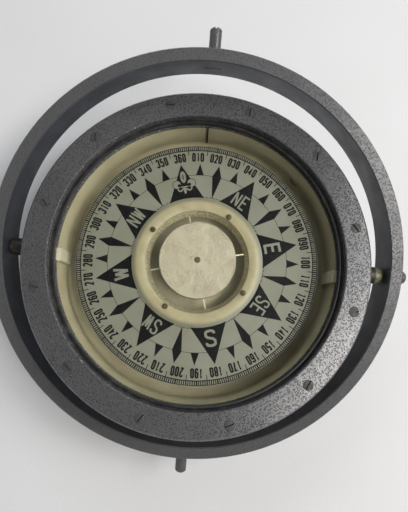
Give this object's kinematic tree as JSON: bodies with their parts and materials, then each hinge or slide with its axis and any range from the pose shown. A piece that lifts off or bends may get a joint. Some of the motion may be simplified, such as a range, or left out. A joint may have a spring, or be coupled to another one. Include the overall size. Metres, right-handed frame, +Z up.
{
  "type": "gimballed compass bowl",
  "caption": "Liquid magnetic compass bowl with floating degree card under flat glass, hung by side pivots in a round gimbal ring with two trunnion pins.",
  "frame": {"origin": "centre of the bowl's flat base", "axes": "+Z up out of the glass, +Y forward through the fore lubber line and fore trunnion, +X to starboard along the inner pivots"},
  "size_m": [0.3472, 0.3586, 0.1406],
  "materials": {
    "grey_hammer_paint": "grey hammer-finish paint over cast brass, cream inside",
    "grey_ring_paint": "grey semi-gloss paint over brass",
    "base_paint": "grey semi-gloss paint over brass",
    "brass": "aged, dull",
    "rubber": "matt black",
    "glass": "clear, flat",
    "sapphire": "polished",
    "cream_paint": "cream paint, brushed on by hand",
    "black_line": "matt black",
    "card_face": "matt greenish white, printed in black",
    "card_metal": "matt",
    "steel": "fine ground",
    "ballast": "dull grey metal"
  },
  "bodies": {
    "bowl": {"bowl_shell": "grey_hammer_paint", "top_flange": "grey_hammer_paint", "bezel_ring": "grey_hammer_paint", "bezel_screws": "brass", "upper_seal": "rubber", "cover_glass": "glass", "lower_seal": "rubber", "fore_lubber_line": "black_line", "beam_mark_port": "cream_paint", "beam_mark_starboard": "cream_paint", "pivot_stem": "brass", "stem_screws": "brass", "pivot_point": "steel", "diaphragm": "brass", "diaphragm_clamp": "brass", "clamp_screws": "brass", "base_seal": "rubber", "base_cover": "base_paint", "base_screws": "brass", "ballast_ring": "ballast", "ballast_screws": "brass", "filler_seal": "rubber", "filler_plug": "brass", "pivot_boss_port": "brass", "pivot_boss_starboard": "brass", "pivot_pin_port": "grey_ring_paint", "pivot_pin_starboard": "grey_ring_paint"},
    "gimbal": {"gimbal_ring": "grey_ring_paint", "ring_bush_port": "brass", "ring_bush_starboard": "brass", "trunnion_pin_fore": "grey_ring_paint", "trunnion_pin_aft": "grey_ring_paint"},
    "card": {"card_disc": "card_face", "card_rim": "card_metal", "float_ring": "cream_paint", "float_ring_screws": "brass", "float_spokes": "cream_paint", "float_body": "cream_paint", "float_lid": "cream_paint", "lid_screw": "brass", "jewel_cup": "brass", "jewel": "sapphire", "magnet_cradles": "brass", "magnets": "steel"}
  },
  "joints": [
    {"name": "gimbal_tilt", "type": "hinge", "parent": "bowl", "child": "gimbal", "pos_m": [0, 0, 0.0861], "axis": [1, 0, 0], "range_deg": [-54, 26]},
    {"name": "card_turn", "type": "hinge", "parent": "bowl", "child": "card", "pos_m": [0, 0, 0.083], "axis": [0, 0, 1], "continuous": true}
  ]
}
